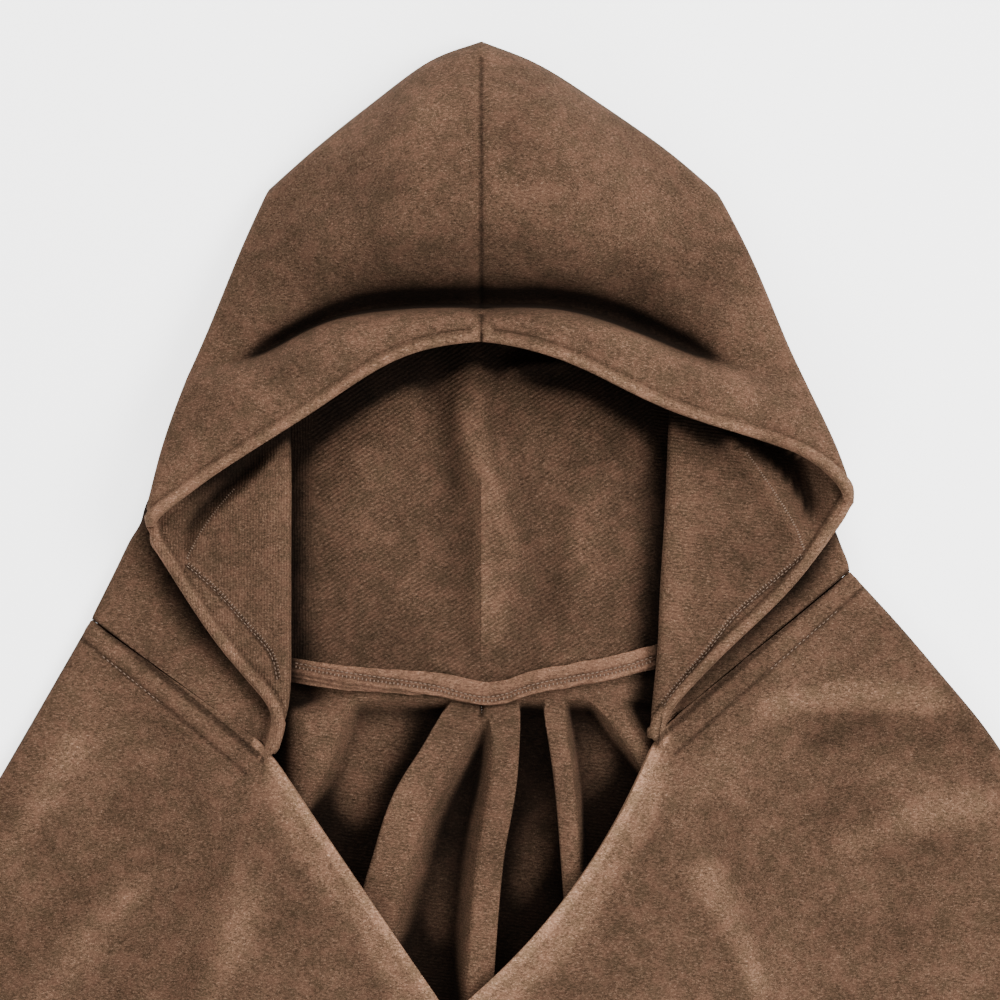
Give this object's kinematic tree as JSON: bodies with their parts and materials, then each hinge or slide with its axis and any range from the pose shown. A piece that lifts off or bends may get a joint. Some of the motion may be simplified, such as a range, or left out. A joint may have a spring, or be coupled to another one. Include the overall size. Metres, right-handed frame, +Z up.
{
  "type": "hooded knit poncho, laid flat on its back",
  "caption": "Brown knit poncho with a large hood and a V neck, laid flat on its back with the hood drawn up and its brim folded back.",
  "frame": {"origin": "on the surface, under the middle of the garment's bounding box", "axes": "+Z up from the surface that the back lies on, +Y from the hem towards the tip of the hood, +X towards the right of the view from above"},
  "size_m": [1.276, 1.2132, 0.0752],
  "materials": {
    "outer_knit": "brushed heather knit, matt, with a fine nap",
    "inner_knit": "unbrushed inside of the same knit, with fine slanting ribs, matt",
    "band_knit": "folded strip of the same knit, stitched along both edges, matt"
  },
  "bodies": {
    "root": {"hood_left": "outer_knit", "hood_right": "outer_knit", "front_left": "outer_knit", "front_right": "outer_knit", "back_left": "inner_knit", "back_right": "inner_knit", "neck_band": "band_knit"}
  },
  "joints": []
}
